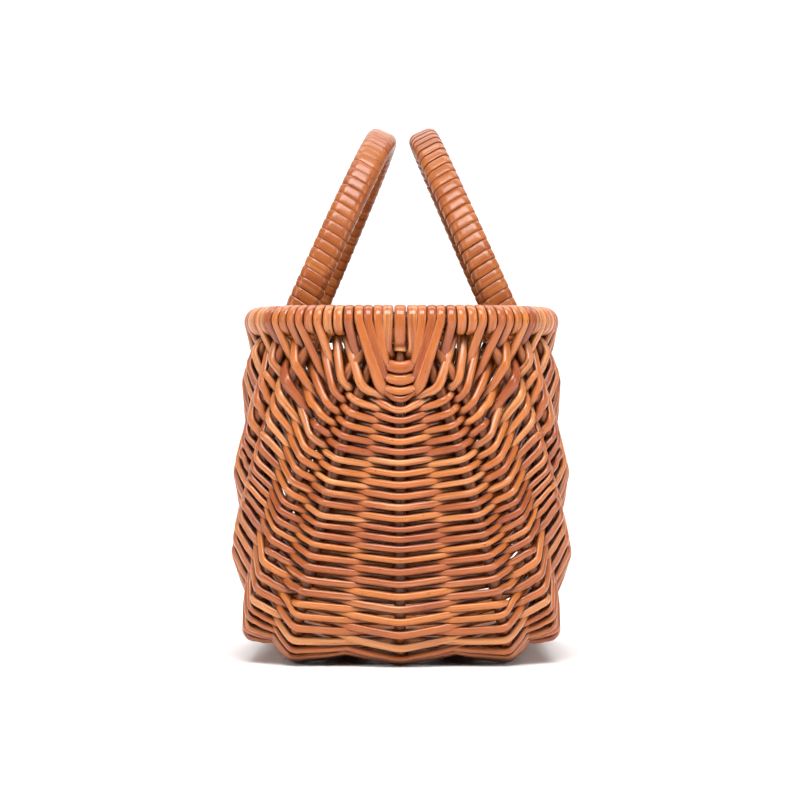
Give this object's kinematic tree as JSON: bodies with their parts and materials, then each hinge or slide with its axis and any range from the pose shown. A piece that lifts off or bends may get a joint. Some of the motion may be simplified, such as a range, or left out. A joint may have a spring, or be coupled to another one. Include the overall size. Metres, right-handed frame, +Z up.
{
  "type": "woven willow basket bag",
  "caption": "Small open frame-woven willow basket bag with a wrapped rim, fanned ribs and a pair of fixed wrapped handles leaning towards each other.",
  "frame": {"origin": "middle of the footprint on the surface the bag stands on", "axes": "+Z up through the handles, Y along the basket from ear to ear, X across it from handle to handle"},
  "size_m": [0.196, 0.275, 0.308],
  "materials": {
    "weave": "glossy varnished peeled willow weavers",
    "ribs": "glossy varnished willow rods",
    "hoop": "varnished willow rod, hidden by the wrap",
    "binding": "glossy varnished willow skein",
    "rods": "varnished willow rod",
    "skein": "glossy varnished flat willow skein"
  },
  "bodies": {
    "root": {"keel_rib": "ribs", "rib_left_1": "ribs", "rib_left_2": "ribs", "rib_left_3": "ribs", "rib_left_4": "ribs", "rib_left_5": "ribs", "rib_right_1": "ribs", "rib_right_2": "ribs", "rib_right_3": "ribs", "rib_right_4": "ribs", "rib_right_5": "ribs", "weave_front": "weave", "weave_middle": "weave", "weave_back": "weave", "rim_hoop": "hoop", "rim_wrap_front_left": "weave", "rim_wrap_front_right": "weave", "ear_binding_front": "binding", "rim_wrap_back_left": "weave", "rim_wrap_back_right": "weave", "ear_binding_back": "binding", "handle_left_rod_outer": "rods", "handle_left_rod_inner": "rods", "handle_left_wrap": "skein", "handle_left_tie_front": "binding", "handle_left_tie_back": "binding", "handle_right_rod_outer": "rods", "handle_right_rod_inner": "rods", "handle_right_wrap": "skein", "handle_right_tie_front": "binding", "handle_right_tie_back": "binding"}
  },
  "joints": []
}
